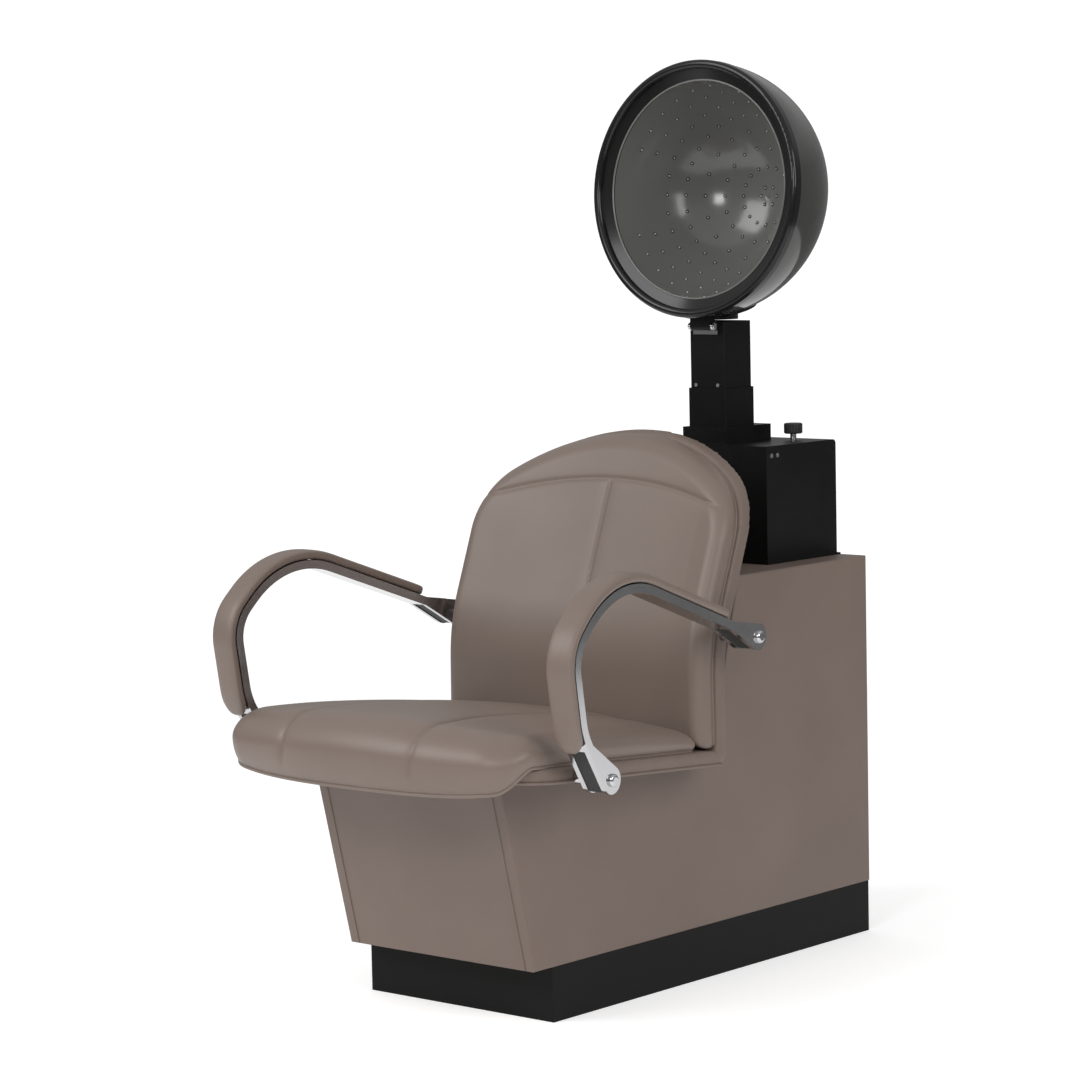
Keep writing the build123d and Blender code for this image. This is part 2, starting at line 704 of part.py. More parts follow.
def make_mast():
    front_y = box_front_y + collar_setback
    rear_y = front_y + collar_depth
    top_z = box_top_z + collar_height
    half = collar_width / 2
    collar = block(-half, half, front_y, rear_y, box_top_z, top_z)
    hollow = block(-half + collar_wall, half - collar_wall, front_y + collar_wall,
                   rear_y - collar_wall, box_top_z, top_z - collar_wall)
    collar = collar - hollow - sleeve_outer_block(box_top_z, top_z)
    save("mast_collar", collar)

    sleeve = square_tube(sleeve_size, sleeve_wall, box_foot_z, sleeve_top_z, sleeve_corner)
    window = block(-sleeve_size, 0, mast_y - outlet_depth / 2, mast_y + outlet_depth / 2,
                   outlet_floor_z, outlet_floor_z + outlet_height)
    save("mast_sleeve", sleeve - window)

    guide = square_tube(sleeve_bore, guide_wall, sleeve_top_z - guide_height, sleeve_top_z, guide_corner)
    save("sleeve_guide", guide)
    tube = square_tube(tube_size, tube_wall, tube_foot_z, tube_top_z, tube_corner)
    stops = []
    for side in (-1, 1):
        x = side * stop_screw_spacing / 2
        place = Pos(x, tube_front_y, sleeve_top_z + stop_screw_lift + stop_screw_d / 2) * Rot(90, 0, 0)
        stops.append(place * Pos(0, 0, stop_screw_head / 2) * Cylinder(stop_screw_d / 2, stop_screw_head))
    save("mast_tube", tube)
    shoe_size, shoe_top_z = tube_size + 2 * guide_wall, tube_foot_z + guide_height
    shoe = square_tube(shoe_size, guide_wall, tube_foot_z, shoe_top_z, shoe_corner)
    save("tube_shoe", shoe)
    save("stop_screws", *stops)


def make_knob():
    neck_top = box_top_z + stud_show
    stud_top = neck_top + knob_height - knob_crown
    flange_foot = box_top_z - sheet - stud_flange_thick
    stud = Pos(knob_x, knob_y, (flange_foot + stud_top) / 2) * Cylinder(
        stud_d / 2, stud_top - flange_foot)
    flange = Pos(knob_x, knob_y, flange_foot + stud_flange_thick / 2) * Cylinder(
        stud_flange_d / 2, stud_flange_thick)
    save("knob_stud", stud + flange)
    body = Cylinder(knob_d / 2, knob_height)
    body = fillet(body.edges(), knob_round)
    for place in PolarLocations(knob_d / 2 + knob_rib_d / 4, knob_ribs):
        body -= place * Cylinder(knob_rib_d / 2, knob_height)
    socket = Pos(0, 0, -knob_crown / 2) * Cylinder(
        stud_d / 2 + stud_gap, knob_height - knob_crown + 4 * stud_gap)
    body -= socket
    save("lock_knob", Pos(knob_x, knob_y, neck_top + knob_height / 2) * body)


def x_disc(diameter, x_from, x_to, y, z):
    return Pos((x_from + x_to) / 2, y, z) * Rot(0, 90, 0) * Cylinder(diameter / 2, x_to - x_from)


def make_blower():
    x_to = -sleeve_size / 2 - blower_gap
    x_from = x_to - blower_width
    scroll = x_disc(scroll_d, x_from, x_to, blower_y, blower_z)
    hollow = x_disc(scroll_d - 2 * scroll_wall, x_from + scroll_wall, x_to - scroll_wall, blower_y, blower_z)
    inlet = x_disc(inlet_d, x_from - 1, x_from + scroll_wall + 1, blower_y, blower_z)
    outlet = block(x_to - scroll_wall - 1, x_to + 1, mast_y - outlet_depth / 2, mast_y + outlet_depth / 2,
                   outlet_floor_z, outlet_floor_z + outlet_height)
    shaft_hole = x_disc(motor_shaft_d + 2 * shaft_clearance, x_to - scroll_wall - 1, x_to + 1,
                        blower_y, blower_z)
    save("blower_housing", scroll - hollow - inlet - outlet - shaft_hole)

    motor_from = x_to - scroll_wall - motor_length
    motor = x_disc(motor_d, motor_from, x_to - scroll_wall, blower_y, blower_z)
    shaft = x_disc(motor_shaft_d, motor_from - motor_shaft_length, motor_from, blower_y, blower_z)
    save("blower_motor", motor + shaft)

    wheel_to = motor_from - wheel_end_gap
    wheel_from = x_from + scroll_wall + wheel_end_gap
    disc = x_disc(wheel_d, wheel_to - wheel_disc, wheel_to, blower_y, blower_z)
    ring = x_disc(wheel_d, wheel_from, wheel_from + wheel_disc, blower_y, blower_z)
    ring -= x_disc(wheel_d - 2 * blade_depth, wheel_from, wheel_from + wheel_disc, blower_y, blower_z)
    hub = x_disc(wheel_hub_d, wheel_to - wheel_hub_length, wheel_to, blower_y, blower_z)
    wheel = disc + ring + hub
    for place in PolarLocations(wheel_d / 2 - blade_depth / 2, wheel_blades):
        blade = place * Box(blade_depth, blade_thick, wheel_to - wheel_from)
        turned = Pos((wheel_from + wheel_to) / 2, blower_y, blower_z) * Rot(0, 90, 0)
        wheel += turned * blade
    wheel -= x_disc(motor_shaft_d + 2 * shaft_gap, wheel_from, wheel_to + 1, blower_y, blower_z)
    save("blower_wheel", wheel)


def make_heater():
    half = heater_size / 2
    z_to = heater_foot_z + heater_height
    wall = heater_sheet
    cross_x = block(-half, half, mast_y - wall / 2, mast_y + wall / 2, heater_foot_z, z_to)
    cross_y = block(-wall / 2, wall / 2, mast_y - half, mast_y + half, heater_foot_z, z_to)
    middle = Pos(0, mast_y, (heater_foot_z + z_to) / 2)
    groove_height = heater_height - 2 * heater_end
    groove = middle * Cylinder(coil_d / 2 + coil_groove, groove_height)
    core = middle * Cylinder(coil_d / 2 - coil_groove, groove_height)
    save("heater_frame", (cross_x + cross_y) - (groove - core))
    rings = []
    pitch = (heater_height - 2 * coil_end) / (coil_turns - 1)
    for turn in range(coil_turns):
        place = Pos(0, mast_y, heater_foot_z + coil_end + turn * pitch)
        rings.append(place * Torus(coil_d / 2, coil_wire / 2))
    save("heater_coil", *rings)


def make_terminal_block():
    width, depth, height = terminal_size
    x_to = half_box - terminal_side_inset
    y_to = box_rear_y - terminal_rear_inset
    body = block(x_to - width, x_to, y_to - depth, y_to, box_foot_z, box_foot_z + height)
    for index in range(terminal_count):
        x = x_to - width + (index + 0.5) * width / terminal_count
        well = Pos(x, y_to - depth / 2, box_foot_z + height - terminal_well / 2)
        body -= well * Cylinder(terminal_well_d / 2, terminal_well)
    save("terminal_block", body)


# ================================================================ hood
def hood_frame():
    """Plane of the opening: x across, z out of the hood towards the sitter."""
    lean = math.radians(hood_tilt)
    return Plane(origin=(0, rim_y, rim_z), x_dir=(1, 0, 0), z_dir=(0, -math.cos(lean), math.sin(lean)))


def ring_of_revolution(points):
    """Solid turned about the hood's axis from (radius, height) points."""
    face = make_face(Plane.XZ * Polyline(*points, close=True))
    return revolve(face, Axis.Z)


def dome_ball(radius):
    return hood_frame().location * Pos(0, 0, -dome_offset) * Sphere(radius)


def make_hood():
    frame = hood_frame()
    rim_outer = rim_d / 2
    rim_inner = rim_outer - rim_width
    depth = rim_front + rim_back
    rim = Pos(0, 0, -rim_back) * (extrude(Circle(rim_outer), depth) - extrude(Circle(rim_inner), depth))
    rim = fillet(rim.edges().group_by(Axis.Z)[-1], rim_round)
    save("hood_rim", frame.location * rim)

    ball = Pos(0, 0, -dome_offset) * (Sphere(dome_radius) - Sphere(dome_radius - dome_wall))
    wide = 3 * dome_radius
    ahead = Pos(0, 0, -rim_back + dome_radius) * Box(wide, wide, 2 * dome_radius)
    dome = frame.location * (ball - ahead)
    save("hood_dome", dome - Pos(0, mast_y, hinge_z) * Cylinder(throat_d / 2, rim_d / 2))

    ledge = ring_of_revolution([
        (rim_inner, -ledge_front),
        (mouth_radius, -ledge_front - ledge_drop),
        (mouth_radius, -ledge_front - ledge_drop - ledge_wall),
        (rim_inner, -ledge_front - ledge_wall),
    ])
    save("hood_ledge", frame.location * ledge)

    bowl_top = -ledge_front - ledge_drop - ledge_wall
    bowl_centre = bowl_top - math.sqrt(bowl_radius ** 2 - mouth_radius ** 2)
    bowl = Sphere(bowl_radius + bowl_wall) - Sphere(bowl_radius) - Compound(children=bowl_holes())
    bowl = Pos(0, 0, bowl_centre) * bowl
    bowl -= Pos(0, 0, bowl_top + dome_radius) * Box(wide, wide, 2 * dome_radius)
    save("hood_bowl", frame.location * bowl)


def bowl_holes():
    """Rings of air holes about the bowl's axis, drilled square to its wall."""
    holes = []
    for ring, count in enumerate(ring_counts):
        polar = ring_first + ring * ring_step
        outer_ring = ring >= len(ring_counts) - side_gap_rings
        for index in range(count):
            turn = index * 360 / count
            to_side = min(abs(turn - 180), turn, 360 - turn)
            if outer_ring and to_side < side_gap_angle:
                continue
            drill = Rot(0, 0, turn) * Rot(0, 180 - polar, 0) * Pos(0, 0, bowl_radius)
            holes.append(drill * Cylinder(hole_d / 2, 6 * bowl_wall))
    return holes


def make_throat():
    """Air spigot over the mast's open top, with a flange that hugs the dome."""
    foot = tube_top_z + throat_gap
    spigot = Pos(0, mast_y, foot + throat_d / 2) * Cylinder(throat_d / 2, throat_d)
    flange = dome_ball(dome_radius + flange_thick) & Pos(0, mast_y, foot) * Cylinder(flange_d / 2, throat_d)
    rear_half = block(-flange_d, flange_d, tube_front_y, mast_y + flange_d, foot, foot + throat_d)
    throat = (spigot + (flange & rear_half) - dome_ball(dome_radius)) + (
        (spigot & dome_ball(dome_radius)) - dome_ball(dome_radius - dome_wall - 4))
    throat -= Pos(0, mast_y, foot + throat_d / 2) * Cylinder(throat_d / 2 - throat_wall, 2 * throat_d)
    save("hood_throat", throat)


def make_hinge():
    half_barrel = hinge_barrel_width / 2
    barrel = x_disc(hinge_barrel_d, -half_barrel, half_barrel, hinge_y, hinge_z)
    strip = block(-saddle_width / 2, saddle_width / 2, hinge_y - saddle_reach / 2,
                  tube_front_y - 1, hinge_z, hinge_z + saddle_height)
    saddle = dome_ball(dome_radius + flange_thick) & strip
    web = block(-half_barrel, half_barrel, hinge_y - hinge_barrel_d / 2, hinge_y + hinge_barrel_d / 2,
                hinge_z, hinge_z + web_height)
    bore = x_disc(hinge_d + 2 * hinge_gap, -half_barrel - 1, half_barrel + 1, hinge_y, hinge_z)
    rim_clear = hood_frame().location * Pos(0, 0, rim_d / 2 - rim_back) * Cylinder(rim_d, rim_d)
    save("hood_saddle", barrel + ((web + saddle) - dome_ball(dome_radius) - rim_clear) - bore)

    inner = half_barrel + ear_gap
    outer = inner + ear_thick
    clevis = block(-outer, outer, tube_front_y - ear_thick, tube_front_y, hinge_z - ear_height / 2,
                   tube_top_z)
    for side in (-1, 1):
        low, high = sorted((side * inner, side * outer))
        clevis += x_disc(hinge_barrel_d, low, high, hinge_y, hinge_z)
        clevis += block(low, high, hinge_y, tube_front_y - ear_thick, hinge_z - hinge_barrel_d / 2,
                        hinge_z + hinge_barrel_d / 2)
    clevis -= x_disc(hinge_d, -outer - 1, outer + 1, hinge_y, hinge_z)
    save("hinge_clevis", clevis)
    pin = x_disc(hinge_d, -outer, outer, hinge_y, hinge_z)
    for side in (-1, 1):
        low, high = sorted((side * outer, side * (outer + pin_head)))
        pin += x_disc(pin_head_d, low, high, hinge_y, hinge_z)
    save("hinge_pin", pin)


os.makedirs("parts", exist_ok=True)
make_plinth()
make_side_panels()
make_panels()
make_gland()
make_shell()
make_riser_and_seat_bolts()
make_seat_cushion()
make_back_cushion()
make_arms()
make_arm_fasteners()
make_box()
make_mast()
make_knob()
make_blower()
make_heater()
make_terminal_block()
make_hood()
make_throat()
make_hinge()
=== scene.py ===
"""Salon dryer chair: upholstery, trim, finishes, light and camera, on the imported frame. Metres."""

import json
import math

import bpy
import numpy as np
from mathutils import Matrix


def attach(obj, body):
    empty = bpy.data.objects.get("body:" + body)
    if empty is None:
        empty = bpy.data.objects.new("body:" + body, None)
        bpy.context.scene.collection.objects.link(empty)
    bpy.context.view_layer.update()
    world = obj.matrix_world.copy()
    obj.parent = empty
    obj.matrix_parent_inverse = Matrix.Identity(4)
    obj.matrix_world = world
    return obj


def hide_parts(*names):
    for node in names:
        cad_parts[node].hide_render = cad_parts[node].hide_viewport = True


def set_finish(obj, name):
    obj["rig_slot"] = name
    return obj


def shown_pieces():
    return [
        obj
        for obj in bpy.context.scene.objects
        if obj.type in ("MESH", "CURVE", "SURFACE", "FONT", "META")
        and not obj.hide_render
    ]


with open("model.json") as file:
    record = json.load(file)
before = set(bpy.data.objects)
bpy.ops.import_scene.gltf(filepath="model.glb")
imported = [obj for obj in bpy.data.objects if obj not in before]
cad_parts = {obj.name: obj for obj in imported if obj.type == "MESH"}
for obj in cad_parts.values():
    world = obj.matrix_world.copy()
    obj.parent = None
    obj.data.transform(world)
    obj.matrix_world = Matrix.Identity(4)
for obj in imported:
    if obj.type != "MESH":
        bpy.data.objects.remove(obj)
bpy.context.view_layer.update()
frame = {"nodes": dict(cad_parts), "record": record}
nodes = frame["nodes"]

# ---------------------------------------------------------------- sizes shared with the frame
SEAT_PITCH = math.radians(4.6)
FLARE = math.radians(4.0)
SHELL_UNDER = 0.338         # underside of the seat shell at the back's foot
SHELL_THICK = 0.025
BACK_FOOT_Y = -0.042
BACK_WRAP_RADIUS = 1.162
BACK_BEND_FOOT = 0.4742     # height where the back begins to lean
BACK_BEND_RADIUS = 0.22
BACK_LEAN = math.radians(21.0)
SEAT_LIP_DROP = 0.046
ARM_POINTS = np.array([(-0.450, 0.380), (-0.510, 0.440), (-0.530, 0.568), (-0.426, 0.667),
                       (-0.071, 0.540)])
ARM_RADII = [0.098, 0.065, 0.150]
ARM_REAR = (0.300, -0.071)
ARM_BAND = (0.040, 0.013)
PAD_SIZE = (0.044, 0.015)
PAD_MARGIN = 0.074
HOOD_CENTRE = np.array([0.0, 0.198, 1.204])
HOOD_TILT = math.radians(4.0)
BOWL_RADIUS = 0.1725
BOWL_SET = 0.0246           # the bowl's centre behind the opening's plane
HOLE_COUNTS = [6, 16, 18, 18, 30, 30, 30, 30]
HOLE_FIRST = math.radians(5.2)
HOLE_STEP = math.radians(10.6)


# ================================================================ shapes on grids
def shown(name, points, faces, body, slot):
    """A mesh piece whose faces point outwards, which rides on a body."""
    points, faces = np.asarray(points, float), [np.asarray(f) for f in faces]
    size = 0.0
    for group in faces:
        first, second, third = points[group[:, 0]], points[group[:, 1]], points[group[:, 2]]
        size += np.einsum("ij,ij->i", first, np.cross(second, third)).sum()
        if group.shape[1] == 4:
            fourth = points[group[:, 3]]
            size += np.einsum("ij,ij->i", first, np.cross(third, fourth)).sum()
    if size < 0:
        faces = [group[:, ::-1] for group in faces]
    mesh = bpy.data.meshes.new(name)
    mesh.from_pydata(points.tolist(), [], [row for group in faces for row in group.tolist()])
    mesh.shade_smooth()
    piece = bpy.data.objects.new(name, mesh)
    bpy.context.scene.collection.objects.link(piece)
    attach(piece, body)
    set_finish(piece, slot)
    return piece


def ring_faces(rows, cols, wrap_rows=False):
    """Four-sided faces between neighbouring rings of a grid whose columns close on themselves."""
    row, col = np.meshgrid(np.arange(rows if wrap_rows else rows - 1), np.arange(cols),
                           indexing="ij")
    here, beside = row * cols + col, row * cols + (col + 1) % cols
    above, across = (row + 1) % rows * cols + col, (row + 1) % rows * cols + (col + 1) % cols
    return np.stack([here, beside, across, above], -1).reshape(-1, 4)


def closed_rings(name, grid, body, slot):
    """Rings stacked from one pole to the other; each end ring closes on its own middle point."""
    rows, cols, _ = grid.shape
    points = np.vstack([grid.reshape(-1, 3), grid[0].mean(0), grid[-1].mean(0)])
    k = np.arange(cols)
    n, end = (k + 1) % cols, (rows - 1) * cols
    first = np.stack([n, k, np.full(cols, rows * cols)], -1)
    last = np.stack([end + k, end + n, np.full(cols, rows * cols + 1)], -1)
    return shown(name, points, [ring_faces(rows, cols), first, last], body, slot)


def swept(name, path, profile, body, slot, sideways=None, closed=False):
    """A profile carried along a path: each ring is the path's point plus the profile's two
    sizes along the sideways direction and along the direction square to it and to the path."""
    path = np.asarray(path, float)
    if closed:
        tangent = np.roll(path, -1, 0) - np.roll(path, 1, 0)
    else:
        tangent = np.gradient(path, axis=0)
    tangent /= np.linalg.norm(tangent, axis=1, keepdims=True)
    if sideways is None:
        sideways = np.array([0.0, 0.0, 1.0])
    side = np.broadcast_to(sideways, path.shape)
    side = side - tangent * np.einsum("ij,ij->i", side, tangent)[:, None]
    side = side / np.linalg.norm(side, axis=1, keepdims=True)
    out = np.cross(tangent, side)
    if profile.ndim == 2:
        profile = np.broadcast_to(profile, (len(path),) + profile.shape)
    grid = path[:, None] + side[:, None] * profile[..., :1] + out[:, None] * profile[..., 1:]
    if closed:
        rows, cols, _ = grid.shape
        return shown(name, grid.reshape(-1, 3), [ring_faces(rows, cols, True)], body, slot)
    return closed_rings(name, grid, body, slot)


def circle(radius, count=10):
    turn = np.linspace(0, 2 * np.pi, count, endpoint=False)
    return radius * np.stack([np.cos(turn), np.sin(turn)], -1)


def rounded_oblong(width, height, power, count=48):
    """A superellipse: each coordinate is half the size times the cosine or sine, to 2/power."""
    turn = np.linspace(0, 2 * np.pi, count, endpoint=False)
    c, s = np.cos(turn), np.sin(turn)
    return np.stack([np.sign(c) * np.abs(c) ** (2 / power) * width / 2,
                     np.sign(s) * np.abs(s) ** (2 / power) * height / 2], -1)


def smooth(value, low, high):
    t = np.clip((value - low) / (high - low), 0, 1)
    return t * t * (3 - 2 * t)


def reach_of(points, centre, count):
    """Distance from a centre to the convex outline of flat points, by direction: the least,
    over all directions, of the furthest point that way over the cosine of the turn between."""
    turn = np.linspace(0, 2 * np.pi, count, endpoint=False)
    way = np.stack([np.cos(turn), np.sin(turn)], -1)
    furthest = ((points - centre) @ way.T).max(0)
    cosine = np.cos(turn[:, None] - turn[None, :])
    return way, np.where(cosine > 0.05, furthest / np.maximum(cosine, 0.05), np.inf).min(1)


def corners_of(node):
    mesh = nodes[node].data
    flat = np.empty(len(mesh.vertices) * 3)
    mesh.vertices.foreach_get("co", flat)
    return flat.reshape(-1, 3)


# ================================================================ seat
def shell_top(y):
    return SHELL_UNDER + (BACK_FOOT_Y - y) * math.tan(SEAT_PITCH) + SHELL_THICK / math.cos(
        SEAT_PITCH)


def groove(distance, width, depth):
    """Depth of a sewn line: a bell curve of the distance from it."""
    return -depth * np.exp(-(distance / width) ** 2)


def make_seat_pad():
    """Rings round the seat's outline. The edge is a quarter wave up and in from the widest line,
    with a tuck below it; the top is a low crown with two sewn lines from front to rear."""
    centre, count = np.array([0.0, -0.38]), 560
    way, reach = reach_of(corners_of("seat_cushion")[:, :2], centre, count)
    rim = centre + way * reach[:, None]
    front = smooth(-rim[:, 1], 0.545, 0.600)
    edge = 0.040 + 0.036 * front - 0.008 * smooth(rim[:, 1], -0.2, -0.12)
    foot = shell_top(rim[:, 1]) + 0.0006 + front * (
        -SEAT_LIP_DROP - 0.002 + 0.010 * (rim[:, 0] / 0.26) ** 4)

    def top(x, y):
        along = (y + 0.385) / 0.26
        rise = 0.062 - 0.017 * along ** 2 - 0.006 * along
        rise = rise - 0.017 * (x / 0.27) ** 2
        seam = np.abs(np.abs(x) - 0.118 - 0.010 * smooth(-y, 0.45, 0.60))
        puff = 0.003 * np.cos(np.clip(x / 0.118, -1, 1) * np.pi / 2)
        return (shell_top(y) + rise + puff,
                groove(seam, 0.0035, 0.0032) + groove(seam, 0.012, 0.0022))

    rings = []
    for share in (0.02, 0.5, 0.8):
        spot = centre + way * (reach * share)[:, None]
        rings.append(np.column_stack([spot, shell_top(spot[:, 1]) + 0.0006]))
    spot = centre + way * (reach - 0.046)[:, None]
    rings.append(np.column_stack([spot, shell_top(spot[:, 1]) + 0.0006]))
    spot = centre + way * (reach - 0.030 - 0.006 * front)[:, None]
    rings.append(np.column_stack([spot, foot]))
    middle = foot + (0.42 + 0.06 * front) * (top(rim[:, 0], rim[:, 1])[0] - foot)
    for turn in np.linspace(-52, 90, 34):
        lift = math.sin(math.radians(turn))
        fold = 1 - math.cos(math.radians(turn))
        depth = edge * fold if turn > 0 else (0.016 + 0.012 * front) * fold
        spot = centre + way * (reach - depth)[:, None]
        height, sewn = top(spot[:, 0], spot[:, 1])
        if turn > 0:
            z = middle + (height - middle) * lift
        else:
            z = middle + (middle - foot) * lift / math.sin(math.radians(52))
        line = sewn * smooth(turn, -40, 10)
        spot = spot + way * (line * (1 - max(lift, 0)))[:, None]
        rings.append(np.column_stack([spot, z + line * max(lift, 0)]))
    seam_ring = rings[5].copy()
    for share in np.linspace(0.99, 0.01, 74):
        spot = centre + way * ((reach - edge) * share)[:, None]
        height, sewn = top(spot[:, 0], spot[:, 1])
        rings.append(np.column_stack([spot, height + sewn]))
    piece = closed_rings("seat_pad", np.array(rings), "base", "cushion_vinyl")
    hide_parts("seat_cushion")
    outward = np.column_stack([way, np.zeros(count)])
    piping = swept("seat_piping", seam_ring + outward * 0.0005, circle(0.0026), "base",
                   "cushion_vinyl", closed=True)
    return piece, piping


# ================================================================ back
def back_line(length):
    """The back's rear face on the centre line: upright, then an arc, then leaning. Gives the
    point and the lean at a length along it, which starts equal to the height."""
    lean = np.clip((length - BACK_BEND_FOOT) / BACK_BEND_RADIUS, 0, BACK_LEAN)
    beyond = np.maximum(length - BACK_BEND_FOOT - BACK_BEND_RADIUS * BACK_LEAN, 0)
    y = BACK_FOOT_Y + BACK_BEND_RADIUS * (1 - np.cos(lean)) + beyond * math.sin(BACK_LEAN)
    z = np.minimum(length, BACK_BEND_FOOT) + BACK_BEND_RADIUS * np.sin(lean) + beyond * math.cos(
        BACK_LEAN)
    return y, z, lean


def wrap_drop(x):
    return BACK_WRAP_RADIUS - np.sqrt(BACK_WRAP_RADIUS ** 2 - x ** 2)


def on_back(x, length, ahead):
    """The point at a place on the back, that far ahead of its rear face."""
    y, z, lean = back_line(length)
    out = ahead + wrap_drop(x)
    return np.stack([x, y - np.cos(lean) * out, z + np.sin(lean) * out], -1)


def back_place(points):
    """The reverse of on_back, for corners of the frame."""
    x, y, z = points.T
    hub_y = BACK_FOOT_Y + BACK_BEND_RADIUS
    lean = np.clip(np.arctan2(z - BACK_BEND_FOOT, hub_y - y), 0, BACK_LEAN)
    foot_y, foot_z, _ = back_line(BACK_BEND_FOOT + BACK_BEND_RADIUS * lean)
    along = (y - foot_y) * np.sin(lean) + (z - foot_z) * np.cos(lean)
    out = -(y - foot_y) * np.cos(lean) + (z - foot_z) * np.sin(lean)
    return x, BACK_BEND_FOOT + BACK_BEND_RADIUS * lean + along, out - wrap_drop(x)


def make_back_pad():
    """Rings round the back's outline, laid on the back: a tucked and rounded edge, then a low
    crown with a bowed sewn line across the head and an upright one below it."""
    x, length, ahead = back_place(corners_of("back_cushion"))
    face = ahead > 0.060
    centre, count = np.array([0.0, 0.60]), 560
    way, reach = reach_of(np.column_stack([x, length])[face], centre, count)
    reach = reach - 0.0005
    near, far = 0.0258, 0.0668

    def lift_at(x, length):
        crown = 0.004 * np.clip(1 - (x / 0.2) ** 2, 0, 1) - 0.006 * smooth(length, 0.74, 0.87)
        head = length - (0.751 - 0.80 * x ** 2)
        sewn = groove(head, 0.0030, 0.0022) + groove(head, 0.010, 0.0012)
        upright = smooth(-head, 0.0, 0.01) * (1 - smooth(-head, 0.12, 0.26))
        sewn = sewn + (groove(x, 0.0030, 0.0022) + groove(x, 0.012, 0.0012)) * upright
        return far + crown, sewn

    def laid(spot, out, share):
        """On the back, with the rim cut level instead of square to the leaning back."""
        lean = back_line(spot[:, 1])[2]
        return on_back(spot[:, 0], spot[:, 1] + (far - out) * np.tan(lean) * share, out)

    rings = []
    for share in (0.02, 0.5, 0.9):
        spot = centre + way * (reach * share)[:, None]
        rings.append(laid(spot, near, share))
    edge = 0.026
    for turn in np.linspace(-50, 90, 30):
        lift = math.sin(math.radians(turn))
        fold = 1 - math.cos(math.radians(turn))
        depth = edge * fold if turn > 0 else 0.014 * fold
        spot = centre + way * (reach - depth)[:, None]
        height, sewn = lift_at(spot[:, 0], spot[:, 1])
        middle = near + 0.36 * (far - near)
        if turn > 0:
            out = middle + (height - middle) * lift
        else:
            out = middle + (middle - near) * lift / math.sin(math.radians(50))
        rings.append(laid(spot, out + sewn * max(lift, 0), 1))
    seam_ring = rings[3].copy()
    for share in np.linspace(0.99, 0.01, 78):
        spot = centre + way * ((reach - edge) * share)[:, None]
        height, sewn = lift_at(spot[:, 0], spot[:, 1])
        rings.append(on_back(spot[:, 0], spot[:, 1], height + sewn))
    piece = closed_rings("back_pad", np.array(rings), "base", "cushion_vinyl")
    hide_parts("back_cushion")
    piping = swept("back_piping", seam_ring, circle(0.0026), "base", "cushion_vinyl",
                   sideways=np.array([0.0, 1.0, 0.0]), closed=True)
    return piece, piping


def softened(name, node, voxel, rounds, body, slot):
    """A copy of a frame part, rebuilt in even cells and eased, so that its edges are rolled."""
    source = nodes[node]
    mesh = source.data.copy()
    trial = bpy.data.objects.new(name + "_trial", mesh)
    bpy.context.scene.collection.objects.link(trial)
    weld = trial.modifiers.new("weld", "WELD")
    weld.merge_threshold = 1e-5
    cells = trial.modifiers.new("cells", "REMESH")
    cells.mode = "VOXEL"
    cells.voxel_size = voxel
    ease = trial.modifiers.new("ease", "SMOOTH")
    ease.factor = 0.5
    ease.iterations = rounds
    bpy.context.view_layer.update()
    shaped = bpy.data.meshes.new_from_object(trial.evaluated_get(
        bpy.context.evaluated_depsgraph_get()))
    shaped.name = name
    bpy.data.objects.remove(trial)
    shaped.materials.clear()
    shaped.shade_smooth()
    piece = bpy.data.objects.new(name, shaped)
    bpy.context.scene.collection.objects.link(piece)
    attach(piece, body)
    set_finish(piece, slot)
    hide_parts(node)
    return piece


# ================================================================ arms
def rounded_line(points, radii, count):
    """A line through points whose corners are arcs, as evenly spaced points."""
    line = [points[:1]]
    for before, corner, after, radius in zip(points, points[1:], points[2:], radii):
        back, ahead = before - corner, after - corner
        back, ahead = back / np.linalg.norm(back), ahead / np.linalg.norm(ahead)
        half = math.acos(float(np.clip(back @ ahead, -1, 1))) / 2
        hub = corner + (back + ahead) / np.linalg.norm(back + ahead) * radius / math.sin(half)
        start = corner + back * radius / math.tan(half) - hub
        end = corner + ahead * radius / math.tan(half) - hub
        sweep = math.pi - 2 * half
        share = np.linspace(0, 1, 40)[:, None]
        arc = (np.sin((1 - share) * sweep) * start + np.sin(share * sweep) * end) / math.sin(sweep)
        line.append(hub + arc)
    line.append(points[-1:])
    line = np.vstack(line)
    run = np.concatenate([[0], np.cumsum(np.linalg.norm(np.diff(line, axis=0), axis=1))])
    even = np.linspace(0, run[-1], count)
    return np.column_stack([np.interp(even, run, line[:, 0]),
                            np.interp(even, run, line[:, 1])]), run[-1]


def arm_line(distance, count=400):
    """The arm's centre line in its own plane, moved outwards by a distance."""
    line, length = rounded_line(ARM_POINTS, ARM_RADII, count)
    tangent = np.gradient(line, axis=0)
    tangent /= np.linalg.norm(tangent, axis=1, keepdims=True)
    return line + np.column_stack([-tangent[:, 1], tangent[:, 0]]) * distance, length


def arm_placed(points, side):
    """From the arm's own frame to its place: turned out about the line through its rear bolt."""
    x, y, z = points.T
    c, s = math.cos(side * FLARE), math.sin(side * FLARE)
    y = y - ARM_REAR[1]
    return np.column_stack([side * ARM_REAR[0] + x * c - y * s, ARM_REAR[1] + x * s + y * c, z])


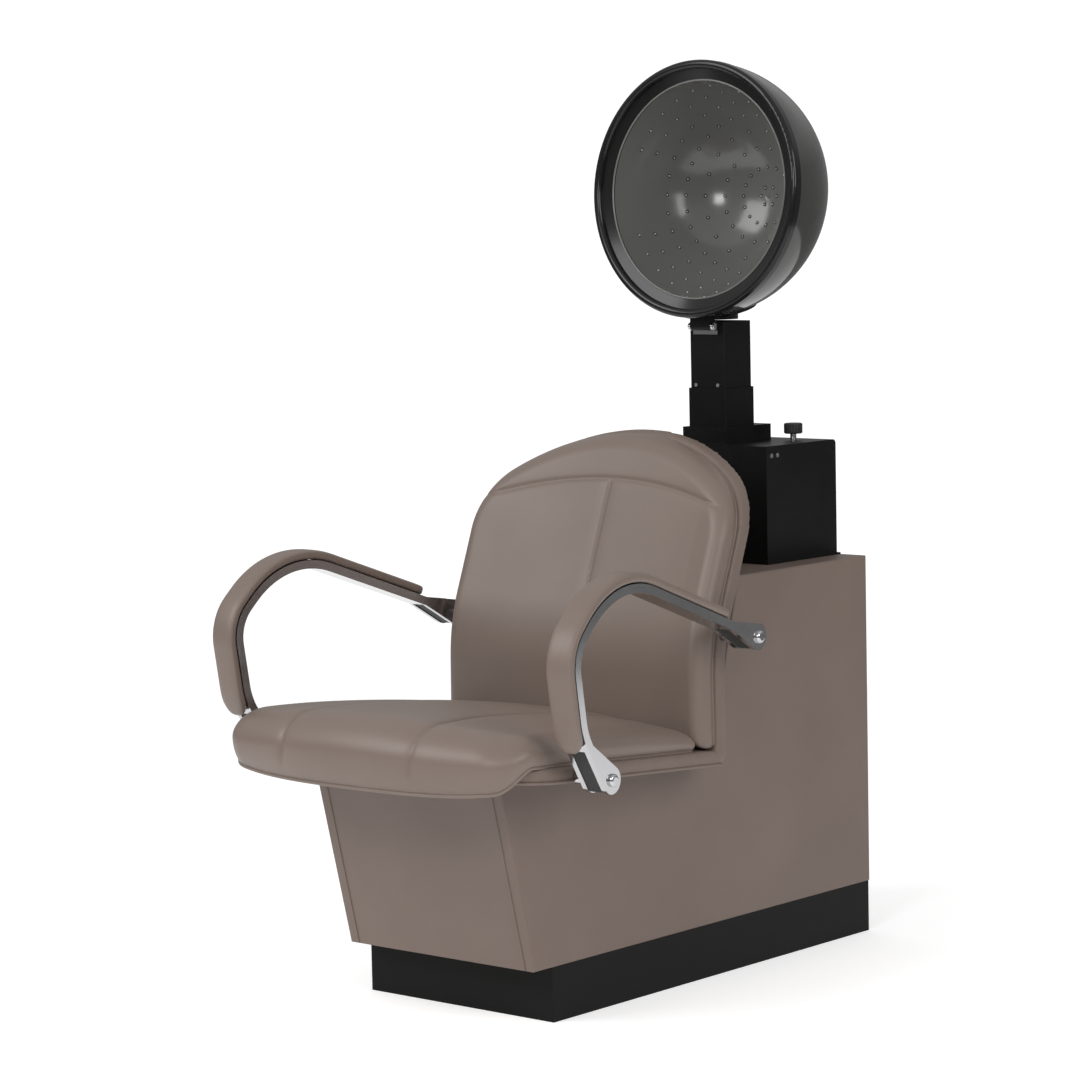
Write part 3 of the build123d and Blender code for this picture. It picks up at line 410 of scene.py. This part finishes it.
def make_arm_pad(name, side):
    """An oblong section carried along the arm, drawn in to a round end like a tongue."""
    line, length = arm_line(ARM_BAND[1] / 2 + 0.0005 + PAD_SIZE[1] / 2, 500)
    run = np.linspace(0, length, 500)
    keep = (run > PAD_MARGIN) & (run < length - PAD_MARGIN)
    line, run = line[keep], run[keep] - PAD_MARGIN
    whole = length - 2 * PAD_MARGIN
    from_end = np.minimum(run, whole - run)
    wide = np.sqrt(np.clip(1 - (1 - np.clip(from_end / 0.028, 0, 1)) ** 2, 0, 1))
    thick = np.sqrt(np.clip(1 - (1 - np.clip(from_end / 0.010, 0, 1)) ** 2, 0, 1))
    profile = rounded_oblong(PAD_SIZE[0], PAD_SIZE[1], 3.6, 64)
    size = np.stack([np.maximum(wide, 0.05), np.maximum(thick, 0.05)], -1)
    profile = profile[None] * size[:, None]
    path = arm_placed(np.column_stack([np.zeros(len(line)), line]), side)
    across = np.array([math.cos(side * FLARE), math.sin(side * FLARE), 0.0])
    piece = swept(f"{name}_cover", path, profile, "base", "cushion_vinyl", sideways=across)
    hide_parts(name)
    return piece


# ================================================================ materials
def group_of(name, ins, outs):
    group = bpy.data.node_groups.new(name, "ShaderNodeTree")
    for label, kind, value in ins:
        socket = group.interface.new_socket(label, in_out="INPUT", socket_type=kind)
        socket.default_value = value
    for label, kind in outs:
        group.interface.new_socket(label, in_out="OUTPUT", socket_type=kind)
    return group, group.nodes.new("NodeGroupInput"), group.nodes.new("NodeGroupOutput")


def joined(tree, kind, values=(), **settings):
    """A node with its settings, whose inputs are linked or given a value."""
    node = tree.nodes.new(kind)
    for key, value in settings.items():
        setattr(node, key, value)
    for key, value in dict(values).items():
        if isinstance(value, bpy.types.NodeSocket):
            tree.links.new(value, node.inputs[key])
        else:
            node.inputs[key].default_value = value
    return node


def make_skin_group():
    """Embossed skin: pebbled cells for the grain, slow clouds for tone and shine."""
    group, start, end = group_of("skin", [
        ("Tint", "NodeSocketColor", (0.2, 0.15, 0.13, 1)), ("Pebble", "NodeSocketFloat", 900.0),
        ("Clouding", "NodeSocketFloat", 0.1), ("Shine", "NodeSocketFloat", 0.45)],
        [("Color", "NodeSocketColor"), ("Roughness", "NodeSocketFloat"),
         ("Height", "NodeSocketFloat")])
    place = joined(group, "ShaderNodeTexCoord").outputs["Object"]
    cells = joined(group, "ShaderNodeTexVoronoi",
                   {"Vector": place, "Scale": start.outputs["Pebble"]},
                   feature="SMOOTH_F1")
    clouds = joined(group, "ShaderNodeTexNoise", {"Vector": place, "Scale": 5.0, "Detail": 4.0})
    creases = joined(group, "ShaderNodeTexNoise", {"Vector": place, "Scale": 160.0, "Detail": 3.0})
    darker = joined(group, "ShaderNodeMapRange", {
        "Value": clouds.outputs["Fac"], "From Min": 0.3, "From Max": 0.7, "To Min": 0.0,
        "To Max": start.outputs["Clouding"]})
    pit = joined(group, "ShaderNodeMapRange", {
        "Value": cells.outputs["Distance"], "From Min": 0.0, "From Max": 0.9, "To Min": 0.0,
        "To Max": 0.10})
    total = joined(group, "ShaderNodeMath", {0: darker.outputs[0], 1: pit.outputs[0]},
                   operation="ADD")
    tone = joined(group, "ShaderNodeMix", {0: total.outputs[0], 6: start.outputs["Tint"],
                                           7: (0.02, 0.015, 0.012, 1)},
                  data_type="RGBA")
    shine = joined(group, "ShaderNodeMath", {0: darker.outputs[0], 1: 0.8,
                                             2: start.outputs["Shine"]},
                   operation="MULTIPLY_ADD")
    height = joined(group, "ShaderNodeMath", {0: creases.outputs["Fac"], 1: 0.35,
                                              2: cells.outputs["Distance"]},
                    operation="MULTIPLY_ADD")
    for label, socket in (("Color", tone.outputs[2]), ("Roughness", shine.outputs[0]),
                          ("Height", height.outputs[0])):
        group.links.new(socket, end.inputs[label])
    return group


def make_coat_group():
    """A moulded or painted face: fine orange peel, and smears that change its shine."""
    group, start, end = group_of("coat", [
        ("Tint", "NodeSocketColor", (0.02, 0.02, 0.02, 1)), ("Peel", "NodeSocketFloat", 700.0),
        ("Shine", "NodeSocketFloat", 0.3), ("Smear", "NodeSocketFloat", 0.1),
        ("Dust", "NodeSocketFloat", 0.02)],
        [("Color", "NodeSocketColor"), ("Roughness", "NodeSocketFloat"),
         ("Height", "NodeSocketFloat")])
    place = joined(group, "ShaderNodeTexCoord").outputs["Object"]
    peel = joined(group, "ShaderNodeTexNoise",
                  {"Vector": place, "Scale": start.outputs["Peel"], "Detail": 1.0})
    smears = joined(group, "ShaderNodeTexNoise",
                    {"Vector": place, "Scale": 7.0, "Detail": 6.0, "Roughness": 0.6})
    spread = joined(group, "ShaderNodeMapRange", {
        "Value": smears.outputs["Fac"], "From Min": 0.35, "From Max": 0.7, "To Min": 0.0,
        "To Max": 1.0})
    rough = joined(group, "ShaderNodeMath", {0: spread.outputs[0], 1: start.outputs["Smear"],
                                             2: start.outputs["Shine"]},
                   operation="MULTIPLY_ADD")
    dusty = joined(group, "ShaderNodeMath", {0: spread.outputs[0], 1: start.outputs["Dust"]},
                   operation="MULTIPLY")
    tone = joined(group, "ShaderNodeMix", {0: dusty.outputs[0], 6: start.outputs["Tint"],
                                           7: (0.6, 0.58, 0.55, 1)},
                  data_type="RGBA")
    for label, socket in (("Color", tone.outputs[2]), ("Roughness", rough.outputs[0]),
                          ("Height", peel.outputs["Fac"])):
        group.links.new(socket, end.inputs[label])
    return group


def finish_of(name, group, values, bump, reach, **sockets):
    """A material: a shared group feeds colour, roughness and a bump into one shader."""
    material = bpy.data.materials.new(name)
    material.use_nodes = True
    tree = material.node_tree
    shader = tree.nodes["Principled BSDF"]
    effect = tree.nodes.new("ShaderNodeGroup")
    effect.node_tree = group
    for key, value in values.items():
        effect.inputs[key].default_value = value
    raised = joined(tree, "ShaderNodeBump", {"Height": effect.outputs["Height"], "Strength": bump,
                                             "Distance": reach})
    tree.links.new(effect.outputs["Color"], shader.inputs["Base Color"])
    tree.links.new(effect.outputs["Roughness"], shader.inputs["Roughness"])
    tree.links.new(raised.outputs["Normal"], shader.inputs["Normal"])
    for key, value in sockets.items():
        shader.inputs[key.replace("_", " ")].default_value = value
    return material


def make_finishes():
    skin, coat = make_skin_group(), make_coat_group()
    return {
        "upholstery": finish_of("panel_vinyl", skin,
                                {"Tint": (0.158, 0.115, 0.095, 1), "Pebble": 1100.0,
                                                      "Clouding": 0.10, "Shine": 0.50}, 0.25,
                                                      0.0004),
        "cushion_vinyl": finish_of("cushion_vinyl", skin,
                                   {"Tint": (0.172, 0.130, 0.108, 1), "Pebble": 1000.0,
                                                          "Clouding": 0.08, "Shine": 0.42}, 0.22,
                                                          0.0004),
        "black_steel": finish_of("black_steel", coat,
                                 {"Tint": (0.004, 0.004, 0.004, 1), "Peel": 1500.0,
                                                       "Shine": 0.34, "Smear": 0.10,
                                                       "Dust": 0.004}, 0.10, 0.0002,
                                                       Specular_IOR_Level=0.14),
        "plinth_black": finish_of("plinth_black", coat,
                                  {"Tint": (0.005, 0.005, 0.005, 1), "Peel": 500.0,
                                                         "Shine": 0.42, "Smear": 0.12,
                                                         "Dust": 0.004}, 0.10, 0.0003,
                                                         Specular_IOR_Level=0.10),
        "chrome": finish_of("chrome", coat, {"Tint": (0.50, 0.50, 0.51, 1), "Peel": 120.0,
                                             "Shine": 0.10,
                                             "Smear": 0.06, "Dust": 0.0}, 0.02, 0.0002,
                                             Metallic=1.0),
        "filler_black": finish_of("filler_black", coat,
                                  {"Tint": (0.012, 0.012, 0.012, 1), "Peel": 1800.0,
                                                         "Shine": 0.6, "Smear": 0.1, "Dust": 0.01},
                                                         0.25, 0.0003),
        "board": finish_of("board", coat, {"Tint": (0.36, 0.25, 0.15, 1), "Peel": 300.0,
                                           "Shine": 0.7,
                                           "Smear": 0.1, "Dust": 0.1}, 0.3, 0.0005),
        "steel": finish_of("steel", coat, {"Tint": (0.45, 0.45, 0.45, 1), "Peel": 400.0,
                                           "Shine": 0.28,
                                           "Smear": 0.1, "Dust": 0.0}, 0.05, 0.0002, Metallic=1.0),
        "black_plastic": finish_of("black_plastic", coat,
                                   {"Tint": (0.010, 0.010, 0.010, 1), "Peel": 1200.0,
                                                           "Shine": 0.45, "Smear": 0.1,
                                                           "Dust": 0.01}, 0.2, 0.0003),
        "hood_smoke": finish_of("hood_smoke", coat,
                                {"Tint": (0.040, 0.040, 0.038, 1), "Peel": 60.0, "Shine": 0.10,
                                                     "Smear": 0.05, "Dust": 0.006}, 0.02, 0.0003,
                                                     Coat_Weight=0.25,
                                Coat_Roughness=0.04, Specular_IOR_Level=0.3),
        "hood_black": finish_of("hood_black", coat,
                                {"Tint": (0.008, 0.008, 0.008, 1), "Peel": 60.0, "Shine": 0.12,
                                                     "Smear": 0.05, "Dust": 0.004}, 0.02, 0.0003,
                                Specular_IOR_Level=0.3),
        "bowl_grey": finish_of("bowl_grey", coat,
                               {"Tint": (0.135, 0.135, 0.128, 1), "Peel": 60.0, "Shine": 0.13,
                                                   "Smear": 0.06, "Dust": 0.006}, 0.02, 0.0003),
        # Light grey for the stems in the air holes: painted light, the bright dot of light that shows
        # through each hole.
        "painted_light_grey": finish_of("painted_light_grey", coat,
                                 {"Tint": (0.55, 0.55, 0.53, 1), "Peel": 200.0, "Shine": 0.2,
                                                       "Smear": 0.05, "Dust": 0.0}, 0.02, 0.0002),
        "heater_mica": finish_of("heater_mica", coat,
                                 {"Tint": (0.55, 0.5, 0.38, 1), "Peel": 600.0, "Shine": 0.6,
                                                       "Smear": 0.1, "Dust": 0.02}, 0.2, 0.0003),
        "coil_wire": finish_of("coil_wire", coat,
                               {"Tint": (0.3, 0.28, 0.26, 1), "Peel": 800.0, "Shine": 0.45,
                                                   "Smear": 0.1, "Dust": 0.0}, 0.1, 0.0002,
                                                   Metallic=1.0),
    }


# ================================================================ hood trim
def hood_point(x, up, ahead):
    """A point in the hood's own frame: across, up in the opening's plane, and out of its mouth."""
    c, s = math.cos(HOOD_TILT), math.sin(HOOD_TILT)
    x, up, ahead = np.broadcast_arrays(x, up, ahead)
    return HOOD_CENTRE + np.stack([x, -ahead * c + up * s, ahead * s + up * c], -1)


def make_hood_bead():
    """A thin bright ring on the bowl's mouth: a circle carried round a circle."""
    turn = np.linspace(0, 2 * np.pi, 240, endpoint=False)
    path = hood_point(0.1728 * np.cos(turn), 0.1728 * np.sin(turn), -0.0085)
    out = np.array([0.0, -math.cos(HOOD_TILT), math.sin(HOOD_TILT)])
    return swept("bowl_bead", path, circle(0.0016), "hood", "bowl_grey", sideways=out, closed=True)


def hole_ways():
    """Directions of the bowl's air holes in the hood's own frame: rings about its axis, whose
    two outer ones leave out the holes near both sides."""
    ways = []
    for ring, count in enumerate(HOLE_COUNTS):
        polar = HOLE_FIRST + ring * HOLE_STEP
        turn = np.arange(count) * 2 * np.pi / count
        if ring >= len(HOLE_COUNTS) - 2:
            turn = turn[np.abs(np.sin(turn)) >= math.sin(math.radians(18)) - 1e-6]
        ways.append(np.column_stack([math.sin(polar) * np.cos(turn),
                                     math.sin(polar) * np.sin(turn),
                                     np.full(len(turn), -math.cos(polar))]))
    return np.vstack(ways)


def make_painted_light_pins():
    """A small stem with a round head in each air hole, in light grey: painted light, standing in for
    the bright dot of light that shows through each hole. A profile turned about the hole's axis.
    """
    way = hole_ways()
    profile = np.array([(0.0011, 0.0052), (0.0011, 0.0012), (0.0016, 0.0002), (0.0014, -0.0008),
                        (0.0007, -0.0013)])
    turn = np.linspace(0, 2 * np.pi, 8, endpoint=False)
    side = np.cross(way, [0.31, 0.17, 0.93])
    side /= np.linalg.norm(side, axis=1, keepdims=True)
    cross = np.cross(way, side)
    round_way = side[:, None] * np.cos(turn)[:, None] + cross[:, None] * np.sin(turn)[:, None]
    spot = way[:, None, None] * (BOWL_RADIUS + profile[:, 1])[:, None, None]
    grid = spot + round_way[:, None] * profile[:, 0][:, None, None]
    stems, rows, cols, _ = grid.shape
    flat = grid.reshape(-1, 3)
    points = hood_point(flat[:, 0], flat[:, 1], flat[:, 2] - BOWL_SET)
    start = np.arange(stems) * rows * cols
    quads = (start[:, None, None] + ring_faces(rows, cols)[None]).reshape(-1, 4)
    ends = np.concatenate([start[:, None] + np.arange(cols)[::-1],
                           start[:, None] + (rows - 1) * cols + np.arange(cols)])
    return shown("painted_light_pins", points, [quads, ends], "hood", "bowl_grey")


def make_painted_shade_sheet():
    """The dark sheet that the stems stand on, just outside the bowl: painted shade, standing in for
    the dark inside of each air hole round its bright dot. A cap of a sphere with a wall.
    """
    turn = np.linspace(0, 2 * np.pi, 96, endpoint=False)
    polar = np.linspace(0.02, math.radians(88), 40)
    rings = []
    for radius, order in ((BOWL_RADIUS + 0.0062, polar[::-1]), (BOWL_RADIUS + 0.0050, polar)):
        for angle in order:
            rings.append(np.stack([np.sin(angle) * np.cos(turn), np.sin(angle) * np.sin(turn),
                                   np.full(96, -np.cos(angle))], -1) * radius)
    flat = np.array(rings).reshape(-1, 3)
    points = hood_point(flat[:, 0], flat[:, 1], flat[:, 2] - BOWL_SET)
    return shown("painted_shade_sheet", points, [ring_faces(len(rings), 96, True)], "hood", "hood_black")


# ================================================================ seams on the cabinet
def make_front_seams():
    """A thin cord of vinyl in each joint between the front panel and a side panel."""
    for name, side in (("front_seam_left", 1), ("front_seam_right", -1)):
        z = np.linspace(0.083, 0.362, 60)
        y = -0.436 - (z - 0.082) * math.tan(math.radians(13.7))
        path = np.column_stack([np.full(60, side * 0.166), y - 0.0002, z])
        swept(name, path, circle(0.0014), "base", "upholstery", sideways=np.array([1.0, 0.0, 0.0]))


def make_shell_welt():
    """A cord along the lower edge of the seat's shell, from one rear corner round to the other."""
    corner = corners_of("chair_shell")
    low = corner[corner[:, 2] < shell_top(corner[:, 1]) + 0.001][:, :2]
    centre = np.array([0.0, -0.36])
    way, reach = reach_of(low, centre, 720)
    rim = centre + way * (reach + 0.0002)[:, None]
    start = np.argmax(rim[:, 1])
    rim = np.roll(rim, -start, 0)
    rim = rim[rim[:, 1] < -0.085]
    z = SHELL_UNDER + (BACK_FOOT_Y - rim[:, 1]) * math.tan(SEAT_PITCH) + 0.0035
    return swept("shell_welt", np.column_stack([rim, z]), circle(0.0022), "base", "upholstery")


# ================================================================ stage
def make_stage():
    half = 2.7
    mesh = bpy.data.meshes.new("studio_floor")
    mesh.from_pydata([(-half, -half, 0), (half, -half, 0), (half, half, 0), (-half, half, 0)], [],
                     [(0, 1, 2, 3)])
    floor = bpy.data.objects.new("studio_floor", mesh)
    bpy.context.scene.collection.objects.link(floor)
    pale = bpy.data.materials.new("pale_floor")
    pale.use_nodes = True
    pale.node_tree.nodes["Principled BSDF"].inputs["Base Color"].default_value = (0.9, 0.9, 0.9, 1)
    pale.node_tree.nodes["Principled BSDF"].inputs["Roughness"].default_value = 0.9
    mesh.materials.append(pale)
    pale.node_tree.nodes["Principled BSDF"].inputs["Emission Color"].default_value = (1, 1, 1, 1)
    pale.node_tree.nodes["Principled BSDF"].inputs["Emission Strength"].default_value = 0.35
    world = bpy.data.worlds.new("studio")
    world.use_nodes = True
    sky = world.node_tree
    height = joined(sky, "ShaderNodeSeparateXYZ",
                    {0: joined(sky, "ShaderNodeTexCoord").outputs["Generated"]})
    shade = joined(sky, "ShaderNodeValToRGB", {0: joined(sky, "ShaderNodeMapRange", {
        "Value": height.outputs["Z"], "From Min": -0.2, "From Max": 1.0}).outputs[0]})
    shade.color_ramp.elements[0].color = (0.16, 0.16, 0.16, 1)
    shade.color_ramp.elements[1].color = (0.72, 0.72, 0.72, 1)
    shade.color_ramp.elements.new(0.30).color = (0.26, 0.26, 0.26, 1)
    shade.color_ramp.elements.new(0.50).color = (0.62, 0.62, 0.62, 1)
    seen = joined(sky, "ShaderNodeLightPath").outputs["Is Camera Ray"]
    light = joined(sky, "ShaderNodeMix", {0: seen, 6: shade.outputs["Color"],
                                          7: (1.1, 1.1, 1.1, 1)}, data_type="RGBA")
    sky.links.new(light.outputs[2], sky.nodes["Background"].inputs["Color"])
    bpy.context.scene.world = world
    for name, place, aim, size, power in (
            ("key", (-1.6, -3.2, 3.0), (0, -0.1, 0.6), 2.2, 78),
            ("side", (3.4, -0.8, 2.2), (0, 0.0, 0.7), 1.6, 44),
            ("window", (1.0, -2.4, 1.7), (0, 0.2, 1.2), 0.5, 12)):
        lamp = bpy.data.lights.new(name, "AREA")
        lamp.size = size
        lamp.energy = power
        holder = bpy.data.objects.new(name, lamp)
        bpy.context.scene.collection.objects.link(holder)
        away = np.array(place) - np.array(aim)
        away = away / np.linalg.norm(away)
        right = np.cross((0, 0, 1), away)
        right = right / np.linalg.norm(right)
        up = np.cross(away, right)
        turn = Matrix(np.column_stack([right, up, away]).tolist()).to_4x4()
        turn.translation = place
        holder.matrix_world = turn


def make_camera():
    turn, down, roll = math.radians(40.9), math.radians(5.62), math.radians(-1.2)
    back = np.array([math.sin(turn) * math.cos(down), -math.cos(turn) * math.cos(down),
                     math.sin(down)])
    level = np.array([math.cos(turn), math.sin(turn), 0.0])
    upright = np.cross(back, level)
    right = level * math.cos(roll) + upright * math.sin(roll)
    up = upright * math.cos(roll) - level * math.sin(roll)
    lens = bpy.data.cameras.new("camera")
    lens.lens, lens.sensor_width = 116.67, 36.0
    lens.clip_end = 60.0
    camera = bpy.data.objects.new("camera", lens)
    bpy.context.scene.collection.objects.link(camera)
    pose = Matrix(np.column_stack([right, up, back]).tolist()).to_4x4()
    pose.translation = (3.4536, -4.1791, 1.1989)
    camera.matrix_world = pose
    bpy.context.scene.camera = camera
    bpy.context.scene.view_settings.view_transform = "Standard"


def paint(finishes):
    slots = {part["node"]: part["material_slot"] for part in frame["record"]["subparts"]}
    for name, piece in nodes.items():
        piece.data.materials.clear()
        piece.data.materials.append(finishes[slots[name]])
    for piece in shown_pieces():
        if piece.get("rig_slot"):
            piece.data.materials.clear()
            # The stems in the air holes take the light grey of the painted light dots.
            own = "painted_light_grey" if piece.name == "painted_light_pins" else piece["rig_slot"]
            piece.data.materials.append(finishes[own])


make_seat_pad()
make_back_pad()
softened("shell_cover", "chair_shell", 0.004, 8, "base", "upholstery")
make_arm_pad("arm_pad_left", 1)
make_arm_pad("arm_pad_right", -1)
make_hood_bead()
make_painted_light_pins()
# Painted shade behind the bowl's air holes.
make_painted_shade_sheet()
make_front_seams()
make_shell_welt()
paint(make_finishes())
make_stage()
make_camera()
